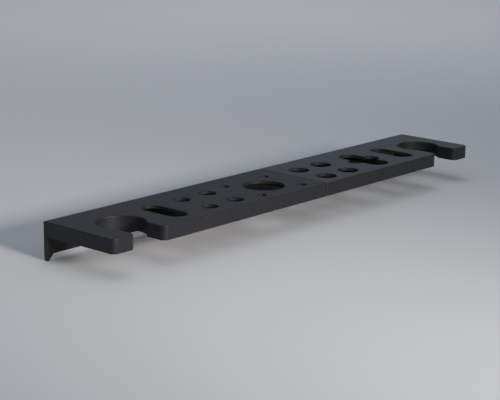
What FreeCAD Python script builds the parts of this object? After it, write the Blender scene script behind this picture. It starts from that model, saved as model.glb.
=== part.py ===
import FreeCAD, Part

import os

import Sketcher

# Tool holder strip: a shelf 400 mm long in two moulded sections that butt end to end on a wall.
# Each section is a thin skin with a skirt, open below, with a flange down its back.
# Frame: X along the strip with 0 at mid-length, the wall face at Y = 0 and the front towards -Y,
# +Z up with 0 at the height of the pegs, halfway up the skirt.

SIZES = (
    # along the left section, from the left end to the joint
    ("left_end_land", 16.6, "left end to the left notch"),
    ("left_slot_land", 15.3, "left notch to the left slot"),
    ("small_group_land", 16.6, "left slot to the four smaller holes"),
    ("socket_land", 13.3, "four smaller holes to the holes round the large one"),
    ("left_joint_land", 13.0, "those holes to the joint"),
    # along the right section, from the right end to the joint
    ("right_end_land", 13.4, "right end to the right notch"),
    ("right_slot_land", 12.4, "right notch to the right slot"),
    ("clover_land", 12.3, "right slot to the cross-shaped hole"),
    ("large_group_land", 12.7, "cross-shaped hole to the four larger holes"),
    ("right_joint_land", 9.5, "four larger holes to the joint"),
    ("joint_gap", 0.2, "hairline between the two sections"),
    # from the wall to the front
    ("back_land", 20.9, "wall face to the notches"),
    ("lip_land", 11.4, "notches to the front face"),
    # walls, corners and edges
    ("skirt_height", 10.0, "top face to the skirt's lower edge"),
    ("wall", 2.3, "skin, skirt and flange thickness"),
    ("flange_drop", 12.8, "flange below the skirt"),
    ("corner_radius", 4.3, "free vertical corners at the front"),
    ("joint_radius", 1.0, "vertical corners beside the joint"),
    ("edge_radius", 0.8, "rounding of the top's outer edge"),
    ("rim_chamfer", 0.3, "broken edge of each hole"),
    # notches and holes
    ("notch_radius", 17.1, "round part of a notch"),
    ("mouth_width", 25.8, "opening of a notch at the front"),
    ("mouth_shift", 1.3, "how far a mouth's middle lies to the left of its notch's"),
    ("mouth_radius", 4.5, "rounded lips of a notch's mouth"),
    ("slot_length", 38.0, "end to end, across the strip"),
    ("slot_width", 15.4, "along the strip"),
    ("group_pitch", 26.5, "between neighbours in a group of four"),
    ("small_hole", 12.6, "diameter"),
    ("large_hole", 16.2, "diameter"),
    ("socket_hole", 31.2, "diameter of the large hole"),
    ("pin_hole", 7.0, "diameter of the holes round the large one"),
    ("pin_pitch_along", 44.0, "between them, along the strip"),
    ("pin_pitch_across", 36.0, "between them, across the strip"),
    ("clover_length", 44.0, "longer arm, end to end, across the strip"),
    ("clover_width", 17.8, "longer arm"),
    ("cross_length", 32.7, "shorter arm, end to end, along the strip"),
    ("cross_width", 12.8, "shorter arm"),
    # underside
    ("rib_thickness", 1.8, "cross ribs"),
    ("rib_rise", 1.5, "skirt's lower edge up to a rib's"),
    ("gusset_reach", 10.0, "wall face to the front of a rib's gusset, below the rib"),
    ("foot_width", 5.5, "foot at each end of the strip, where it leaves the flange"),
    ("foot_taper_out", 0.5, "how far the foot draws in from the end at its tip"),
    ("foot_taper_in", 3.6, "how far its other side draws in at its tip"),
    ("foot_drop", 4.3, "foot below the flange"),
    ("foot_thickness", 2.7, "from the wall face"),
    # pegs
    ("panel_pitch", 38.0, "spacing of the wall's slots"),
    ("peg_place", 29.0, "end of the strip to the nearest peg"),
    ("shank_diameter", 4.6, "peg neck"),
    ("shank_length", 2.6, "peg neck"),
    ("head_diameter", 6.8, "peg head"),
    ("head_thickness", 1.8, "peg head"),
    ("head_chamfer", 0.5, "broken edge of the head"),
)

# Lengths and places that follow from the sizes: X is counted from the section's own free end.
WORKED_OUT = (
    ("tool_line", "back_land + notch_radius", "wall face to the middle of the holes"),
    ("depth", "tool_line + notch_radius + lip_land", "wall face to front face"),
    ("left_notch_place", "left_end_land + notch_radius", "left notch's middle"),
    ("left_slot_place", "left_notch_place + notch_radius + left_slot_land + slot_width / 2", "left slot's middle"),
    ("small_group_start", "left_slot_place + slot_width / 2 + small_group_land", "near side of the smaller holes"),
    ("small_group_place", "small_group_start + ( small_hole + group_pitch ) / 2", "middle of the smaller holes"),
    ("small_group_end", "small_group_start + small_hole + group_pitch", "far side of the smaller holes"),
    ("socket_start", "small_group_end + socket_land", "near side of the holes round the large one"),
    ("socket_place", "socket_start + ( pin_hole + pin_pitch_along ) / 2", "large round hole's middle"),
    ("left_length", "socket_start + pin_hole + pin_pitch_along + left_joint_land", "left section"),
    ("right_notch_place", "right_end_land + notch_radius", "right notch's middle"),
    ("right_slot_place", "right_notch_place + notch_radius + right_slot_land + slot_width / 2", "right slot's middle"),
    ("clover_start", "right_slot_place + slot_width / 2 + clover_land", "near side of the cross-shaped hole"),
    ("clover_place", "clover_start + cross_length / 2", "cross-shaped hole's middle"),
    ("large_group_start", "clover_start + cross_length + large_group_land", "near side of the larger holes"),
    ("large_group_place", "large_group_start + ( large_hole + group_pitch ) / 2", "middle of the larger holes"),
    ("right_length", "large_group_start + large_hole + group_pitch + right_joint_land", "right section"),
    ("strip_length", "left_length + joint_gap + right_length", "whole strip"),
    ("peg_margin", "( joint_radius + head_diameter ) / 2", "least distance from a peg to the joint"),
    ("left_peg_step", "panel_pitch * floor( ( left_length - peg_place - peg_margin ) / panel_pitch )",
     "between the left section's pegs"),
    ("right_peg_step", "panel_pitch * floor( ( right_length - peg_place - peg_margin ) / panel_pitch )",
     "between the right section's pegs"),
)

doc = FreeCAD.newDocument("tool_holder_strip")


def fill_sheet():
    """Puts the sizes and what follows from them in a spreadsheet, each under its own name."""
    sheet = doc.addObject("Spreadsheet::Sheet", "Sizes")
    rows = [(alias, str(value), meaning) for alias, value, meaning in SIZES]
    rows += [(alias, f"={formula}", meaning) for alias, formula, meaning in WORKED_OUT]
    for row, (alias, content, meaning) in enumerate(rows, start=1):
        sheet.set(f"A{row}", alias)
        sheet.setAlias(f"B{row}", alias)
        sheet.set(f"B{row}", content)
        sheet.set(f"C{row}", meaning)
    doc.recompute()
    return sheet


SHEET = fill_sheet()
NAMES = {entry[0] for entry in SIZES + WORKED_OUT}

# Places in the strip's frame, as formulas of words with a space round each sign.
TOP = "( skirt_height / 2 )"
UNDER = "( - skirt_height / 2 )"
LEFT_END = "( - strip_length / 2 )"
RIGHT_END = "( strip_length / 2 )"


def named(text):
    """Turns a formula in plain names into one that reads the spreadsheet."""
    return " ".join(f"Sizes.{word}" if word in NAMES else word for word in text.split())


def worth(text):
    """The number that a formula gives now."""
    return float(SHEET.evalExpression(named(text)))


def from_left(place):
    """X of a place that is measured from the left end."""
    return f"( {place} - strip_length / 2 )"


def from_right(place):
    """X of a place that is measured from the right end."""
    return f"( strip_length / 2 - {place} )"


OUTWARD = {"+": "-", "-": "+"}


def bind(thing, prop, text):
    """Ties a property to a formula."""
    thing.setExpression(prop, named(text))


def origin_plane(body, role):
    """One of a body's own origin planes."""
    return next(plane for plane in body.Origin.OriginFeatures if plane.Role == role)


def new_sketch(body, name, role, offset=None):
    """A sketch on one of the body's origin planes, moved along the plane's normal."""
    sketch = body.newObject("Sketcher::SketchObject", f"{body.Name}_{name}")
    sketch.AttachmentSupport = (origin_plane(body, role), [""])
    sketch.MapMode = "FlatFace"
    if offset:
        bind(sketch, "AttachmentOffset.Base.z", offset)
    return sketch


def place_point(sketch, geometry, point, across, up):
    """Holds a point of the sketch at a place that two formulas give."""
    for kind, text in (("DistanceX", across), ("DistanceY", up)):
        index = sketch.addConstraint(Sketcher.Constraint(kind, -1, 1, geometry, point, worth(text)))
        bind(sketch, f"Constraints[{index}]", text)


def add_polygon(sketch, corners):
    """A closed outline of straight sides."""
    numbers = [FreeCAD.Vector(worth(across), worth(up), 0) for across, up in corners]
    sides = []
    for start, end in zip(numbers, numbers[1:] + numbers[:1]):
        sides.append(sketch.addGeometry(Part.LineSegment(start, end), False))
    for side, following in zip(sides, sides[1:] + sides[:1]):
        sketch.addConstraint(Sketcher.Constraint("Coincident", side, 2, following, 1))
    for side, (across, up) in zip(sides, corners):
        place_point(sketch, side, 1, across, up)


def add_rectangle(sketch, left, right, low, high):
    """A rectangle between four formulas."""
    add_polygon(sketch, ((left, low), (right, low), (right, high), (left, high)))


def add_circle(sketch, across, up, diameter):
    """A circle whose centre and diameter are formulas."""
    centre = FreeCAD.Vector(worth(across), worth(up), 0)
    normal = FreeCAD.Vector(0, 0, 1)
    circle = sketch.addGeometry(Part.Circle(centre, normal, worth(diameter) / 2), False)
    index = sketch.addConstraint(Sketcher.Constraint("Diameter", circle, worth(diameter)))
    bind(sketch, f"Constraints[{index}]", diameter)
    place_point(sketch, circle, 3, across, up)


def add_stadium(sketch, across, up, length, width, upright):
    """A slot with round ends, its length up the sketch or across it."""
    reach = f"( ( {length} - {width} ) / 2 )"
    quarter = 3.141592653589793 / 2
    radius = worth(width) / 2
    normal = FreeCAD.Vector(0, 0, 1)
    if upright:
        ends = ((across, f"( {up} + {reach} )"), (across, f"( {up} - {reach} )"))
        turn = 0.0
    else:
        ends = ((f"( {across} - {reach} )", up), (f"( {across} + {reach} )", up))
        turn = quarter
    arcs = []
    for number, (x_text, y_text) in enumerate(ends):
        centre = FreeCAD.Vector(worth(x_text), worth(y_text), 0)
        start = turn + 2 * quarter * number
        arc = Part.ArcOfCircle(Part.Circle(centre, normal, radius), start, start + 2 * quarter)
        arcs.append(sketch.addGeometry(arc, False))
    first, second = (sketch.Geometry[arc] for arc in arcs)
    sides = (
        sketch.addGeometry(Part.LineSegment(first.EndPoint, second.StartPoint), False),
        sketch.addGeometry(Part.LineSegment(second.EndPoint, first.StartPoint), False),
    )
    for side, before, after in ((sides[0], arcs[0], arcs[1]), (sides[1], arcs[1], arcs[0])):
        sketch.addConstraint(Sketcher.Constraint("Tangent", before, 2, side, 1))
        sketch.addConstraint(Sketcher.Constraint("Tangent", side, 2, after, 1))
    sketch.addConstraint(Sketcher.Constraint("Equal", arcs[0], arcs[1]))
    index = sketch.addConstraint(Sketcher.Constraint("Diameter", arcs[0], worth(width)))
    bind(sketch, f"Constraints[{index}]", width)
    for arc, (x_text, y_text) in zip(arcs, ends):
        place_point(sketch, arc, 3, x_text, y_text)


def finish(feature):
    """Computes a feature and stops if it failed."""
    doc.recompute()
    if "Invalid" in feature.State or "Error" in feature.State or feature.Shape.isNull():
        raise RuntimeError(f"{feature.Label} failed: {feature.State} {feature.getStatusString()}")
    return feature


def pad(body, sketch, name, length, reverse=False, midplane=False):
    """Material as thick as a formula says."""
    feature = body.newObject("PartDesign::Pad", f"{body.Name}_{name}")
    feature.Profile = sketch
    bind(feature, "Length", length)
    feature.Reversed = reverse
    feature.Midplane = midplane
    return finish(feature)


def cut(body, sketch, name, length=None, reverse=False):
    """A pocket as deep as a formula says, or right through both ways. It must take material away."""
    before = body.Tip.Shape.Volume
    feature = body.newObject("PartDesign::Pocket", f"{body.Name}_{name}")
    feature.Profile = sketch
    if length:
        bind(feature, "Length", length)
        feature.Reversed = reverse
    else:
        feature.Type = "ThroughAll"
        feature.Midplane = True
    finish(feature)
    if feature.Shape.Volume >= before:
        raise RuntimeError(f"{name} cuts nothing")
    return feature


def edge_names(shape, wanted):
    """Names of the edges that a test picks."""
    return [f"Edge{number}" for number, edge in enumerate(shape.Edges, start=1) if wanted(edge)]


def dress_edges(body, kind, name, wanted, prop, size):
    """Dresses the edges that a test picks, with a round or a chamfer."""
    base = body.Tip
    feature = body.newObject(f"PartDesign::{kind}", f"{body.Name}_{name}")
    feature.Base = (base, edge_names(base.Shape, wanted))
    bind(feature, prop, size)
    return finish(feature)


def round_edges(body, name, wanted, radius):
    """Rounds the edges that a test picks."""
    return dress_edges(body, "Fillet", name, wanted, "Radius", radius)


def chamfer_edges(body, name, wanted, size):
    """Chamfers the edges that a test picks."""
    return dress_edges(body, "Chamfer", name, wanted, "Size", size)


def upright_at(places):
    """A test for straight vertical edges that stand at given (x, y) places."""

    def wanted(edge):
        if edge.Curve.TypeId != "Part::GeomLine":
            return False
        start, end = edge.Vertexes[0].Point, edge.Vertexes[-1].Point
        upright = abs(start.x - end.x) < 0.001 and abs(start.y - end.y) < 0.001
        return upright and any(abs(start.x - x) < 0.01 and abs(start.y - y) < 0.01 for x, y in places)

    return wanted


def in_top_face(edge):
    """A test for edges that lie in the top face."""
    box = edge.BoundBox
    return abs(box.ZMin - worth(TOP)) < 0.001 and abs(box.ZMax - worth(TOP)) < 0.001


def new_body(name):
    """A body whose label is the name of its piece."""
    body = doc.addObject("PartDesign::Body", name)
    body.Label = name
    return body


def make_tray(body, free_end, joint_end, notch):
    """The section's skin and skirt, open below, with a notch that opens to the front."""
    ends = sorted((free_end, joint_end), key=worth)
    plan = new_sketch(body, "plan", "XY_Plane", UNDER)
    add_rectangle(plan, ends[0], ends[1], "( - depth )", "( 0 )")
    pad(body, plan, "block", "skirt_height")

    hollow = new_sketch(body, "hollow_plan", "XY_Plane", UNDER)
    inside = (f"( {ends[0]} + wall )", f"( {ends[1]} - wall )")
    add_rectangle(hollow, inside[0], inside[1], "( wall - depth )", "( - wall )")
    cut(body, hollow, "hollow", "( skirt_height - wall )", reverse=True)

    lips = (f"( {notch} - mouth_shift - mouth_width / 2 )", f"( {notch} - mouth_shift + mouth_width / 2 )")
    cheeks = (f"( {lips[0]} - wall )", f"( {lips[1]} + wall )")
    collar = new_sketch(body, "collar_plan", "XY_Plane", UNDER)
    add_circle(collar, notch, "( - tool_line )", "( 2 * notch_radius + 2 * wall )")
    pad(body, collar, "collar", "skirt_height")
    throat = new_sketch(body, "throat_plan", "XY_Plane", UNDER)
    add_rectangle(throat, cheeks[0], cheeks[1], "( - depth )", "( - tool_line )")
    pad(body, throat, "throat", "skirt_height")
    ring = new_sketch(body, "notch_plan", "XY_Plane")
    add_circle(ring, notch, "( - tool_line )", "( 2 * notch_radius )")
    cut(body, ring, "notch")
    mouth = new_sketch(body, "mouth_plan", "XY_Plane")
    add_rectangle(mouth, lips[0], lips[1], "( - depth - notch_radius )", "( - tool_line )")
    cut(body, mouth, "mouth")

    front = worth("( - depth )")
    inner_front = worth("( wall - depth )")
    inner_end = min((worth(end) for end in inside), key=lambda x: abs(x - worth(free_end)))
    round_edges(body, "free_corner", upright_at([(worth(free_end), front)]), "corner_radius")
    round_edges(body, "free_corner_inside", upright_at([(inner_end, inner_front)]), "( corner_radius - wall )")
    round_edges(body, "lips", upright_at([(worth(lip), front) for lip in lips]), "mouth_radius")
    behind = upright_at([(worth(cheek), inner_front) for cheek in cheeks])
    round_edges(body, "lips_inside", behind, "( mouth_radius - wall )")


def make_flange(body, free_end, joint_end):
    """The flange that runs down the back below the skirt, and bears on the wall."""
    ends = sorted((free_end, joint_end), key=worth)
    plan = new_sketch(body, "flange_plan", "XY_Plane", UNDER)
    add_rectangle(plan, ends[0], ends[1], "( - wall )", "( 0 )")
    pad(body, plan, "flange", "flange_drop", reverse=True)
    beside_joint = upright_at([(worth(joint_end), worth("( - depth )")), (worth(joint_end), 0.0)])
    round_edges(body, "joint_corners", beside_joint, "joint_radius")


def make_foot(body, free_end, inward):
    """The tapered foot at the strip's end, a thickening of the flange that reaches below it."""
    profile = new_sketch(body, "foot_profile", "XZ_Plane")
    low = f"( {UNDER} - flange_drop )"
    tip = f"( {UNDER} - flange_drop - foot_drop )"
    inner_side = f"( {free_end} {inward} foot_width )"
    add_polygon(profile, (
        (free_end, f"( {UNDER} + wall )"),
        (free_end, low),
        (f"( {free_end} {inward} foot_taper_out )", tip),
        (f"( {inner_side} {OUTWARD[inward]} foot_taper_in )", tip),
        (inner_side, low),
        (inner_side, f"( {UNDER} + wall )"),
    ))
    pad(body, profile, "foot", "foot_thickness")


def make_rib(body, number, across):
    """A rib across the underside that turns down the flange as a gusset."""
    low = f"( {UNDER} + rib_rise )"
    profile = new_sketch(body, f"rib_profile_{number}", "YZ_Plane", across)
    add_polygon(profile, (
        ("( - wall / 2 )", f"( {TOP} - wall / 2 )"),
        ("( wall / 2 - depth )", f"( {TOP} - wall / 2 )"),
        ("( wall / 2 - depth )", low),
        ("( - gusset_reach )", low),
        ("( - wall )", f"( {UNDER} - flange_drop )"),
        ("( - wall / 2 )", f"( {UNDER} - flange_drop )"),
    ))
    pad(body, profile, f"rib_{number}", "rib_thickness", midplane=True)


def make_pegs(body, places):
    """Headed pegs on the back, which hang in the wall's slots."""
    necks = new_sketch(body, "peg_necks", "XZ_Plane", "( wall / 2 )")
    heads = new_sketch(body, "peg_heads", "XZ_Plane", "( - shank_length )")
    for place in places:
        add_circle(necks, place, "( 0 )", "shank_diameter")
        add_circle(heads, place, "( 0 )", "head_diameter")
    pad(body, necks, "necks", "( wall / 2 + shank_length )", reverse=True)
    pad(body, heads, "heads", "head_thickness", reverse=True)
    back = worth("shank_length + head_thickness")

    def outer_rim(edge):
        return edge.BoundBox.YMin > back - 0.001

    chamfer_edges(body, "head_rims", outer_rim, "head_chamfer")


def make_holes(body, draw):
    """Cuts the tool holes through the skin."""
    sketch = new_sketch(body, "hole_plan", "XY_Plane", TOP)
    draw(sketch)
    cut(body, sketch, "holes", "( 2 * wall )")


def four_holes(sketch, middle, along, across, diameter):
    """Four equal holes at the corners of a rectangle."""
    for side in ("-", "+"):
        for row in ("-", "+"):
            add_circle(sketch, f"( {middle} {side} {along} / 2 )", f"( - tool_line {row} {across} / 2 )", diameter)


def draw_left_holes(sketch):
    """A slot, four smaller holes, and a large hole with a pin hole at each of its corners."""
    add_stadium(sketch, from_left("left_slot_place"), "( - tool_line )", "slot_length", "slot_width", True)
    four_holes(sketch, from_left("small_group_place"), "group_pitch", "group_pitch", "small_hole")
    add_circle(sketch, from_left("socket_place"), "( - tool_line )", "socket_hole")
    four_holes(sketch, from_left("socket_place"), "pin_pitch_along", "pin_pitch_across", "pin_hole")


def draw_right_holes(sketch):
    """Four larger holes and a slot; the cross-shaped hole is cut as two slots."""
    four_holes(sketch, from_right("large_group_place"), "group_pitch", "group_pitch", "large_hole")
    add_stadium(sketch, from_right("clover_place"), "( - tool_line )", "clover_length", "clover_width", True)
    add_stadium(sketch, from_right("right_slot_place"), "( - tool_line )", "slot_length", "slot_width", True)


def cut_cross_arm(body):
    """The shorter arm of the cross-shaped hole."""
    sketch = new_sketch(body, "cross_plan", "XY_Plane", TOP)
    add_stadium(sketch, from_right("clover_place"), "( - tool_line )", "cross_length", "cross_width", False)
    cut(body, sketch, "cross_arm", "( 2 * wall )")


def break_edges(body):
    """Rounds the top's outer edge and chamfers the rim of each hole."""
    top = max(body.Tip.Shape.Faces, key=lambda face: face.CenterOfMass.z)
    outer = [edge.CenterOfMass for edge in top.OuterWire.Edges]

    def on_outer_edge(edge):
        return in_top_face(edge) and any(edge.CenterOfMass.distanceToPoint(point) < 0.001 for point in outer)

    round_edges(body, "outer_edge", on_outer_edge, "edge_radius")

    top = max(body.Tip.Shape.Faces, key=lambda face: face.CenterOfMass.z)
    rims = [edge.CenterOfMass for wire in top.Wires if not wire.isSame(top.OuterWire) for edge in wire.Edges]

    def on_rim(edge):
        return in_top_face(edge) and any(edge.CenterOfMass.distanceToPoint(point) < 0.001 for point in rims)

    chamfer_edges(body, "hole_rims", on_rim, "rim_chamfer")


def make_left_section():
    """The longer section, from the left end to the joint."""
    body = new_body("left_section")
    joint_end = from_left("left_length")
    make_tray(body, LEFT_END, joint_end, from_left("left_notch_place"))
    make_flange(body, LEFT_END, joint_end)
    make_foot(body, LEFT_END, "+")
    make_rib(body, 1, from_left("( small_group_start - small_group_land / 2 )"))
    make_rib(body, 2, from_left("( socket_start - socket_land / 2 )"))
    make_pegs(body, (from_left("peg_place"), from_left("( peg_place + left_peg_step )")))
    make_holes(body, draw_left_holes)
    break_edges(body)
    return body


def make_right_section():
    """The shorter section, from the joint to the right end."""
    body = new_body("right_section")
    joint_end = from_right("right_length")
    make_tray(body, RIGHT_END, joint_end, from_right("right_notch_place"))
    make_flange(body, RIGHT_END, joint_end)
    make_foot(body, RIGHT_END, "-")
    make_rib(body, 1, from_right("( large_group_start - large_group_land / 2 )"))
    make_rib(body, 2, from_right("( clover_start - clover_land / 2 )"))
    make_pegs(body, (from_right("peg_place"), from_right("( peg_place + right_peg_step )")))
    make_holes(body, draw_right_holes)
    cut_cross_arm(body)
    break_edges(body)
    return body


def check_and_write(pieces):
    """Stops on a failed object, then writes each piece."""
    doc.recompute()
    for thing in doc.Objects:
        if "Invalid" in thing.State or "Error" in thing.State:
            raise RuntimeError(f"{thing.Label} failed: {thing.State}")
    os.makedirs("parts", exist_ok=True)
    for piece in pieces:
        shape = piece.Shape
        if shape.isNull() or not shape.isValid() or len(shape.Solids) != 1:
            raise RuntimeError(f"{piece.Label} is not one valid solid")
        shape.exportStep(os.path.join("parts", f"{piece.Label}.step"))
        box = shape.optimalBoundingBox(False)
        print(f"{piece.Label}: {shape.Volume:.0f} mm3, X {box.XMin:.1f} to {box.XMax:.1f}, "
              f"Y {box.YMin:.1f} to {box.YMax:.1f}, Z {box.ZMin:.1f} to {box.ZMax:.1f}")


check_and_write([make_left_section(), make_right_section()])
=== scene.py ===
"""Looks of the tool holder strip: its two black mouldings, a pale floor, soft lamps and the camera.

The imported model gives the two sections, and the script adds the marks under their skins. Lengths are metres,
in the model's frame: X along the strip, the wall face at Y = 0 with the front towards -Y, and +Z up.
"""

from __future__ import annotations

import logging
import math
from dataclasses import dataclass, field
from enum import Enum

import bpy
from mathutils import Matrix, Vector


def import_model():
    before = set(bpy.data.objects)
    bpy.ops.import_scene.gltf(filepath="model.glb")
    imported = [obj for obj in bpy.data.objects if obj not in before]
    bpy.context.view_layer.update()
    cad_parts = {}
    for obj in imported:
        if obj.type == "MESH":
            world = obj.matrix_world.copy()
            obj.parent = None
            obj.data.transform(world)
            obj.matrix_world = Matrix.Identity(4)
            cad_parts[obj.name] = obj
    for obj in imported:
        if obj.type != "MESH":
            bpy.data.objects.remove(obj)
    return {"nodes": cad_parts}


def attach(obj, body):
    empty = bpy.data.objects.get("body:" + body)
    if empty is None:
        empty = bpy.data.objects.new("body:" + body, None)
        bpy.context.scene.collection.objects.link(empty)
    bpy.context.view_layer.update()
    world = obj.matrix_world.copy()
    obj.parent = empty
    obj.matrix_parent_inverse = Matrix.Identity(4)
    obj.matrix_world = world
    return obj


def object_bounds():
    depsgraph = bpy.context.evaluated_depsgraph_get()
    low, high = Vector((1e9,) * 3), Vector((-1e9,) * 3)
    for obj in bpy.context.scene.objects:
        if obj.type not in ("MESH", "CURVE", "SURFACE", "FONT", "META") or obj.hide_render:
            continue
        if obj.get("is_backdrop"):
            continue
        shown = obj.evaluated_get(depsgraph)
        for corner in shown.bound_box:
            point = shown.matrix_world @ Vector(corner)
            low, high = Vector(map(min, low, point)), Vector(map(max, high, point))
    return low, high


LOG = logging.getLogger("tool_holder_strip")
MM = 0.001
BODY = "root"

# Y of the two rows of marks under each section, clear of the ribs, the holes and the walls round them.
BACK_ROW = -11.5 * MM
FRONT_ROW = -61.2 * MM

# Sockets of a Mix node that mixes colours: the two it takes and the one it gives.
FIRST_COLOUR, SECOND_COLOUR, MIXED_COLOUR = 6, 7, 2

Colour = tuple[float, float, float]
Place = tuple[float, float, float]
Socket = bpy.types.NodeSocket


class Section(Enum):
    """The two mouldings, by the names of their solids."""

    LEFT = "left_section"
    RIGHT = "right_section"


class Graph:
    """A node tree, with short ways to add, set and join its nodes."""

    def __init__(self, tree: bpy.types.NodeTree) -> None:
        """Takes a tree.

        Args:
            tree: The node tree to add to.
        """
        self.tree = tree

    def add(
        self, kind: str, settings: dict[str, object] | None = None, **attributes: object
    ) -> bpy.types.Node:
        """Adds a node.

        Args:
            kind: Node type.
            settings: Input values by socket name.
            **attributes: Properties of the node itself.

        Returns:
            The new node.
        """
        node = self.tree.nodes.new(kind)
        for name, value in attributes.items():
            setattr(node, name, value)
        for name, value in (settings or {}).items():
            node.inputs[name].default_value = value
        return node

    def find(self, kind: str) -> bpy.types.Node:
        """Gives the tree's first node of a type."""
        return next(node for node in self.tree.nodes if node.type == kind)

    def join(self, source: Socket, target: Socket) -> None:
        """Links one socket to another."""
        self.tree.links.new(source, target)

    def calc(self, operation: str, *values: Socket | float) -> Socket:
        """Adds a Math node.

        Args:
            operation: What it works out.
            *values: The numbers or sockets that it takes, in order.

        Returns:
            The node's result.
        """
        node = self.add("ShaderNodeMath", operation=operation)
        for socket, value in zip(node.inputs, values):
            if isinstance(value, bpy.types.NodeSocket):
                self.join(value, socket)
            else:
                socket.default_value = value
        return node.outputs[0]

    def mix(self, first: Colour, second: Colour, share: Socket) -> Socket:
        """Mixes two colours, past both of them where the share is under 0 or over 1.

        Args:
            first: Linear colour at a share of 0.
            second: Linear colour at a share of 1.
            share: How much of the second colour there is.

        Returns:
            The mixed colour.
        """
        node = self.add("ShaderNodeMix", data_type="RGBA", clamp_factor=False)
        node.inputs[FIRST_COLOUR].default_value = (*first, 1.0)
        node.inputs[SECOND_COLOUR].default_value = (*second, 1.0)
        self.join(share, node.inputs["Factor"])
        return node.outputs[MIXED_COLOUR]

    def noise(self, place: Socket, **settings: float) -> Socket:
        """Draws a noise pattern from 0 to 1.

        Args:
            place: Where it is drawn.
            **settings: Scale, Detail and other inputs of the noise.

        Returns:
            The pattern.
        """
        node = self.add("ShaderNodeTexNoise", settings)
        self.join(place, node.inputs["Vector"])
        return node.outputs["Fac"]

    def split(self, vector: Socket) -> bpy.types.NodeOutputs:
        """Splits a vector.

        Args:
            vector: The vector.

        Returns:
            Its X, Y and Z.
        """
        parts = self.add("ShaderNodeSeparateXYZ")
        self.join(vector, parts.inputs["Vector"])
        return parts.outputs


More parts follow.
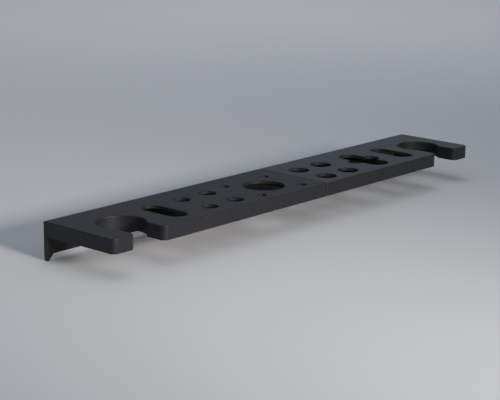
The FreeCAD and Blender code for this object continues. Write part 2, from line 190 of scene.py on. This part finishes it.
@dataclass(frozen=True)
class MouldedPlastic:
    """Black moulded plastic, satin, with a fine grain, faint upright streaks on its sides and, where asked, a
    painted sheen that makes the top's colour lighter.

    Attributes:
        name: Material name.
        dark: Linear colour of the darker patches.
        light: Linear colour of the lighter patches.
        roughness: Lowest and highest roughness.
        sheen_level: Strength of the plain reflection.
        top_painted_sheen: Painted sheen, how much lighter the top's colour is made, in steps from dark to
            light.
        top_gloss: How much less rough the top is.
        patch: Size of the patches of tone.
        grain: Size of the grain.
        grain_depth: Height of the grain.
        streak: Width of a streak and its length up the side.
        streak_tone: How far the streaks change the tone, as a share.
        streak_depth: Height of the streaks.
        sink_places: X of the sink marks on the front, at a rib and beside it.
        sink_width: Half the width of a sink mark.
        sink_depth: Depth of a sink mark.
        front: Y just behind the front face, where the sink marks end.
        upright: Most upward slant that a side face has, as the Z of its normal.
    """

    name: str
    dark: Colour = (0.0125, 0.0128, 0.0148)
    light: Colour = (0.0165, 0.0168, 0.0188)
    roughness: tuple[float, float] = (0.42, 0.50)
    sheen_level: float = 0.36
    top_painted_sheen: float = 0.0
    top_gloss: float = 0.0
    patch: float = 18 * MM
    grain: float = 0.60 * MM
    grain_depth: float = 0.045 * MM
    streak: tuple[float, float] = (1.1 * MM, 30 * MM)
    streak_tone: float = 1.20
    streak_depth: float = 0.20 * MM
    sink_places: tuple[float, ...] = ()
    sink_width: float = 0.9 * MM
    sink_depth: float = 0.42 * MM
    front: float = -66.0 * MM
    upright: float = 0.5

    def build(self) -> bpy.types.Material:
        """Makes the material.

        Returns:
            The new material, which reads Object coordinates.
        """
        material = bpy.data.materials.new(self.name)
        material.use_nodes = True
        graph = Graph(material.node_tree)
        shader = graph.find("BSDF_PRINCIPLED")
        shader.inputs["Specular IOR Level"].default_value = self.sheen_level
        place = graph.add("ShaderNodeTexCoord").outputs["Object"]
        on_side = self._side_share(graph)
        on_top = graph.calc("SUBTRACT", 1.0, on_side)
        streaks = self._streaks(graph, place)

        patches = graph.noise(place, Scale=1 / self.patch, Detail=4.0, Roughness=0.6)
        streaked = graph.calc("MULTIPLY", graph.calc("SUBTRACT", streaks, 0.5), self.streak_tone)
        share = graph.calc("MULTIPLY_ADD", streaked, on_side, patches)
        # Painted sheen: on the top faces the colour is pushed towards the lighter end, standing in for
        # brighter reflected light.
        tone = graph.calc("MULTIPLY_ADD", on_top, self.top_painted_sheen, share)
        graph.join(graph.mix(self.dark, self.light, tone), shader.inputs["Base Color"])
        graph.join(self._satin(graph, share, on_top), shader.inputs["Roughness"])

        bump = graph.add("ShaderNodeBump", {"Distance": 1.0, "Strength": 1.0})
        graph.join(self._relief(graph, place, streaks, on_side), bump.inputs["Height"])
        graph.join(bump.outputs["Normal"], shader.inputs["Normal"])
        return material

    def _side_share(self, graph: Graph) -> Socket:
        """Gives 1 on upright faces and 0 on level ones.

        Args:
            graph: The material's tree.

        Returns:
            The share as a socket.
        """
        facing = graph.add("ShaderNodeNewGeometry").outputs["True Normal"]
        return graph.calc("LESS_THAN", graph.calc("ABSOLUTE", graph.split(facing)["Z"]), self.upright)

    def _streaks(self, graph: Graph, place: Socket) -> Socket:
        """Draws streaks that run up and down.

        Args:
            graph: The material's tree.
            place: Object coordinates.

        Returns:
            The pattern, from 0 to 1.
        """
        width, length = self.streak
        stretch = graph.add("ShaderNodeMapping", {"Scale": (1 / width, 1 / width, 1 / length)})
        graph.join(place, stretch.inputs["Vector"])
        return graph.noise(stretch.outputs["Vector"], Scale=1.0, Detail=1.5)

    def _satin(self, graph: Graph, share: Socket, on_top: Socket) -> Socket:
        """Works out the roughness, which follows the tone and is lower on the top.

        Args:
            graph: The material's tree.
            share: The tone, from dark to light.
            on_top: 1 on level faces and 0 on upright ones.

        Returns:
            The roughness.
        """
        lowest, highest = self.roughness
        satin = graph.add("ShaderNodeMapRange", {"To Min": lowest, "To Max": highest})
        graph.join(share, satin.inputs["Value"])
        return graph.calc("MULTIPLY_ADD", on_top, -self.top_gloss, satin.outputs["Result"])

    def _relief(self, graph: Graph, place: Socket, streaks: Socket, on_side: Socket) -> Socket:
        """Adds up the heights of the grain, the streaks and the sink marks.

        Args:
            graph: The material's tree.
            place: Object coordinates.
            streaks: The pattern of the streaks.
            on_side: 1 on upright faces and 0 on level ones.

        Returns:
            The height of the surface over its mesh, in metres.
        """
        grain = graph.noise(place, Scale=1 / self.grain, Detail=2.0)
        relief = graph.calc("MULTIPLY", grain, self.grain_depth)
        ripple = graph.calc("MULTIPLY", streaks, on_side)
        relief = graph.calc("MULTIPLY_ADD", ripple, self.streak_depth, relief)
        for sink in self.sink_places:
            relief = graph.calc("SUBTRACT", relief, self._sink(graph, place, sink))
        return relief

    def _sink(self, graph: Graph, place: Socket, sink: float) -> Socket:
        """Draws a sink mark, an upright hollow line on the front.

        Args:
            graph: The material's tree.
            place: Object coordinates.
            sink: X of the line.

        Returns:
            How deep the mark is.
        """
        parts = graph.split(place)
        away = graph.calc("DIVIDE", graph.calc("SUBTRACT", parts["X"], sink), self.sink_width)
        spread = graph.calc("MULTIPLY_ADD", away, away, 1.0)
        on_front = graph.calc("LESS_THAN", parts["Y"], self.front)
        return graph.calc("MULTIPLY", graph.calc("DIVIDE", self.sink_depth, spread), on_front)


@dataclass(frozen=True)
class PaleGround:
    """Plain pale surface of the floor, which throws little light back at the strip.

    Attributes:
        name: Material name.
        seen: Linear colour that shows.
        thrown: Linear colour of the light that it throws back.
        roughness: Roughness.
        sheen_level: Strength of the plain reflection.
    """

    name: str
    seen: Colour = (0.74, 0.73, 0.72)
    thrown: Colour = (0.10, 0.10, 0.10)
    roughness: float = 0.9
    sheen_level: float = 0.1

    def build(self) -> bpy.types.Material:
        """Makes the material.

        Returns:
            The new material.
        """
        material = bpy.data.materials.new(self.name)
        material.use_nodes = True
        graph = Graph(material.node_tree)
        shader = graph.find("BSDF_PRINCIPLED")
        shader.inputs["Roughness"].default_value = self.roughness
        shader.inputs["Specular IOR Level"].default_value = self.sheen_level
        ray = graph.add("ShaderNodeLightPath")
        shows = graph.calc("MAXIMUM", ray.outputs["Is Camera Ray"], ray.outputs["Is Glossy Ray"])
        shows = graph.calc("MAXIMUM", shows, ray.outputs["Is Transmission Ray"])
        graph.join(graph.mix(self.thrown, self.seen, shows), shader.inputs["Base Color"])
        return material


@dataclass
class Strip:
    """The two mouldings as the model has them, dressed in their plastic.

    Attributes:
        nodes: The model's objects by name.
        plastics: Each section's plastic.
    """

    nodes: dict[str, bpy.types.Object]
    plastics: dict[Section, MouldedPlastic] = field(
        default_factory=lambda: {
            Section.LEFT: MouldedPlastic("left_black_plastic", sink_places=(-115.8 * MM, -110.2 * MM)),
            # Painted sheen: the right section's top colour is made lighter to stand in for the brighter light
            # that its top reflects.
            Section.RIGHT: MouldedPlastic("right_black_plastic", top_painted_sheen=1.5, top_gloss=0.12),
        }
    )

    def dress(self) -> list[bpy.types.Object]:
        """Gives each section its plastic.

        Returns:
            The dressed sections.
        """
        dressed = []
        for section, plastic in self.plastics.items():
            piece = self.nodes[section.value]
            piece.data.materials.clear()
            piece.data.materials.append(plastic.build())
            dressed.append(piece)
        return dressed


@dataclass(frozen=True)
class MarkRow:
    """A row of round marks along the strip.

    Attributes:
        first: X of its first mark.
        step: Distance from mark to mark.
        count: Number of marks.
        across: Y of the row.
    """

    first: float
    step: float
    count: int
    across: float

    def places(self, height: float) -> list[Place]:
        """Gives the middle of each mark.

        Args:
            height: Z of the row.

        Returns:
            The places in order.
        """
        return [(self.first + self.step * index, self.across, height) for index in range(self.count)]


@dataclass
class EjectorMarks:
    """Round marks that the mould's ejector pins leave under the skin, set out by Geometry Nodes.

    Attributes:
        top: Height of the sections' top.
        skin: Thickness of the skin.
        radius: Radius of a mark.
        height: Height of a mark's disc, half of it sunk in the skin.
        sides: Corners of a disc.
        rows: A back row and a front row under the left section, then under the right one.
        plastic: The smoother plastic that a pin leaves.
    """

    top: float
    skin: float = 2.3 * MM
    radius: float = 2.0 * MM
    height: float = 0.3 * MM
    sides: int = 32
    rows: tuple[MarkRow, ...] = (
        MarkRow(first=-183.0 * MM, step=38.4 * MM, count=6, across=BACK_ROW),
        MarkRow(first=-140.0 * MM, step=36.0 * MM, count=5, across=FRONT_ROW),
        MarkRow(first=31.0 * MM, step=38.3 * MM, count=5, across=BACK_ROW),
        MarkRow(first=28.0 * MM, step=55.0 * MM, count=3, across=FRONT_ROW),
    )
    plastic: MouldedPlastic = MouldedPlastic("mark_black_plastic", roughness=(0.32, 0.38))

    def build(self) -> bpy.types.Object:
        """Makes the marks.

        Returns:
            One plain mesh with all the marks, part of the strip's body.
        """
        underside = self.top - self.skin
        places = [place for row in self.rows for place in row.places(underside)]
        points = bpy.data.meshes.new("ejector_mark_places")
        points.from_pydata(places, [], [])
        marks = bpy.data.objects.new("ejector_marks", points)
        bpy.context.scene.collection.objects.link(marks)
        modifier = marks.modifiers.new("ejector_marks", "NODES")
        modifier.node_group = self._tree(self.plastic.build())
        sizes = {"Radius": self.radius, "Height": self.height, "Sides": self.sides}
        for item in modifier.node_group.interface.items_tree:
            if item.in_out == "INPUT" and item.name in sizes:
                modifier[item.identifier] = sizes[item.name]
        depsgraph = bpy.context.evaluated_depsgraph_get()
        plain = bpy.data.meshes.new_from_object(marks.evaluated_get(depsgraph), depsgraph=depsgraph)
        marks.modifiers.remove(modifier)
        marks.data = plain
        bpy.data.meshes.remove(points)
        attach(marks, BODY)
        return marks

    def _tree(self, material: bpy.types.Material) -> bpy.types.NodeTree:
        """Sets out a disc on every point.

        Args:
            material: The marks' material.

        Returns:
            The node tree.
        """
        tree = bpy.data.node_groups.new("ejector_marks", "GeometryNodeTree")
        inputs = {
            "Geometry": "NodeSocketGeometry",
            "Radius": "NodeSocketFloat",
            "Height": "NodeSocketFloat",
            "Sides": "NodeSocketInt",
        }
        for name, kind in inputs.items():
            tree.interface.new_socket(name, in_out="INPUT", socket_type=kind)
        tree.interface.new_socket("Geometry", in_out="OUTPUT", socket_type="NodeSocketGeometry")
        graph = Graph(tree)
        given = graph.add("NodeGroupInput")
        disc = graph.add("GeometryNodeMeshCylinder")
        for source, target in (("Sides", "Vertices"), ("Radius", "Radius"), ("Height", "Depth")):
            graph.join(given.outputs[source], disc.inputs[target])
        placed = graph.add("GeometryNodeInstanceOnPoints")
        graph.join(given.outputs["Geometry"], placed.inputs["Points"])
        graph.join(disc.outputs["Mesh"], placed.inputs["Instance"])
        real = graph.add("GeometryNodeRealizeInstances")
        graph.join(placed.outputs["Instances"], real.inputs["Geometry"])
        clad = graph.add("GeometryNodeSetMaterial", {"Material": material})
        graph.join(real.outputs["Geometry"], clad.inputs["Geometry"])
        result = graph.add("NodeGroupOutput")
        graph.join(clad.outputs["Geometry"], result.inputs["Geometry"])
        return tree


@dataclass
class Lamp:
    """A flat lamp.

    Attributes:
        name: Lamp name.
        place: Where it hangs.
        target: What it faces.
        size: Its width and height.
        watts: Its power.
        spread: Angle that its light keeps to, in degrees.
        colour: Its linear colour.
    """

    name: str
    place: Place
    target: Place
    size: tuple[float, float]
    watts: float
    spread: float = 180.0
    colour: Colour = (1.0, 1.0, 1.0)

    def build(self) -> bpy.types.Object:
        """Hangs the lamp.

        Returns:
            The lamp.
        """
        data = bpy.data.lights.new(self.name, "AREA")
        data.shape = "RECTANGLE"
        data.size, data.size_y = self.size
        data.energy = self.watts
        data.spread = math.radians(self.spread)
        data.color = self.colour
        lamp = bpy.data.objects.new(self.name, data)
        lamp.location = self.place
        away = Vector(self.place) - Vector(self.target)
        lamp.rotation_euler = away.to_track_quat("Z", "Y").to_euler()
        bpy.context.scene.collection.objects.link(lamp)
        return lamp


@dataclass
class Studio:
    """Floor, lamps and world.

    Attributes:
        floor_height: Height of the floor.
        floor_size: Side of the square floor.
        world_strength: Brightness of the surroundings.
        world_colour: Linear colour of the surroundings.
        lamps: The lamps.
    """

    floor_height: float
    floor_size: float = 8.0
    world_strength: float = 0.285
    world_colour: Colour = (0.76, 0.88, 1.05)
    lamps: tuple[Lamp, ...] = (
        Lamp(
            name="front_lamp",
            place=(-0.24, -1.27, 0.36),
            target=(-0.14, -0.04, 0.0),
            size=(0.34, 0.16),
            watts=0.90,
            spread=40.0,
            colour=(1.0, 0.97, 0.93),
        ),
        Lamp(
            name="overhead_lamp",
            place=(0.3, 0.5, 2.6),
            target=(0.0, 0.4, 0.0),
            size=(2.0, 2.0),
            watts=6.0,
        ),
        Lamp(
            name="floor_lamp",
            place=(0.95, 0.80, 1.4),
            target=(0.95, 0.80, 0.0),
            size=(1.2, 1.2),
            watts=1.5,
            spread=75.0,
        ),
    )

    def floor(self) -> bpy.types.Object:
        """Lays the floor under the strip's feet.

        Returns:
            The floor, marked as stage.
        """
        half = self.floor_size / 2
        corners = [(-half, -half), (half, -half), (half, half), (-half, half)]
        mesh = bpy.data.meshes.new("floor")
        mesh.from_pydata([(x, y, self.floor_height) for x, y in corners], [], [(0, 1, 2, 3)])
        mesh.materials.append(PaleGround("pale_floor").build())
        floor = bpy.data.objects.new("floor", mesh)
        bpy.context.scene.collection.objects.link(floor)
        floor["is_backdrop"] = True
        return floor

    def world(self) -> None:
        """Sets plain surroundings."""
        world = bpy.data.worlds.new("surroundings")
        world.use_nodes = True
        background = Graph(world.node_tree).find("BACKGROUND")
        background.inputs["Color"].default_value = (*self.world_colour, 1.0)
        background.inputs["Strength"].default_value = self.world_strength
        bpy.context.scene.world = world

    def build(self) -> None:
        """Lays the floor, hangs the lamps and sets the world."""
        self.floor()
        for lamp in self.lamps:
            lamp.build()
        self.world()


@dataclass
class Viewpoint:
    """The camera of the photograph.

    Attributes:
        place: Where it stands.
        right: Unit vector towards the image's right.
        down: Unit vector towards the image's foot.
        lens_mm: Focal length.
        sensor_mm: Width of the sensor.
        nearest: Distance from which it sees.
    """

    place: Place = (-0.8177, -0.7206, 0.2561)
    right: Place = (0.66102, -0.75028, 0.01137)
    down: Place = (-0.17500, -0.16889, -0.96998)
    lens_mm: float = 106.96
    sensor_mm: float = 36.0
    nearest: float = 0.01

    def build(self) -> bpy.types.Object:
        """Sets the camera up.

        Returns:
            The scene's camera.
        """
        data = bpy.data.cameras.new("viewpoint")
        data.sensor_width = self.sensor_mm
        data.lens = self.lens_mm
        data.clip_start = self.nearest
        camera = bpy.data.objects.new("viewpoint", data)
        right = Vector(self.right).normalized()
        up = -Vector(self.down)
        up = (up - right * up.dot(right)).normalized()
        back = right.cross(up)
        turn = Matrix((right, up, back)).transposed().to_4x4()
        camera.matrix_world = Matrix.Translation(self.place) @ turn
        bpy.context.scene.collection.objects.link(camera)
        bpy.context.scene.camera = camera
        return camera


def as_list(box: tuple[Vector, Vector]) -> list[list[float]]:
    """Writes a box as plain lists.

    Args:
        box: Lowest and highest corner.

    Returns:
        The same corners as lists of numbers.
    """
    return [list(corner) for corner in box]


def main() -> None:
    """Builds the scene in order."""
    logging.basicConfig(level=logging.INFO, format="%(name)s: %(message)s")
    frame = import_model()
    cad_box = as_list(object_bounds())
    Viewpoint().build()
    for piece in Strip(frame["nodes"]).dress():
        LOG.info("dressed %s", piece.name)
    LOG.info("made %s", EjectorMarks(top=cad_box[1][2]).build().name)
    Studio(floor_height=cad_box[0][2]).build()
    bpy.context.scene.view_settings.view_transform = "Standard"


if __name__ == "__main__":
    main()
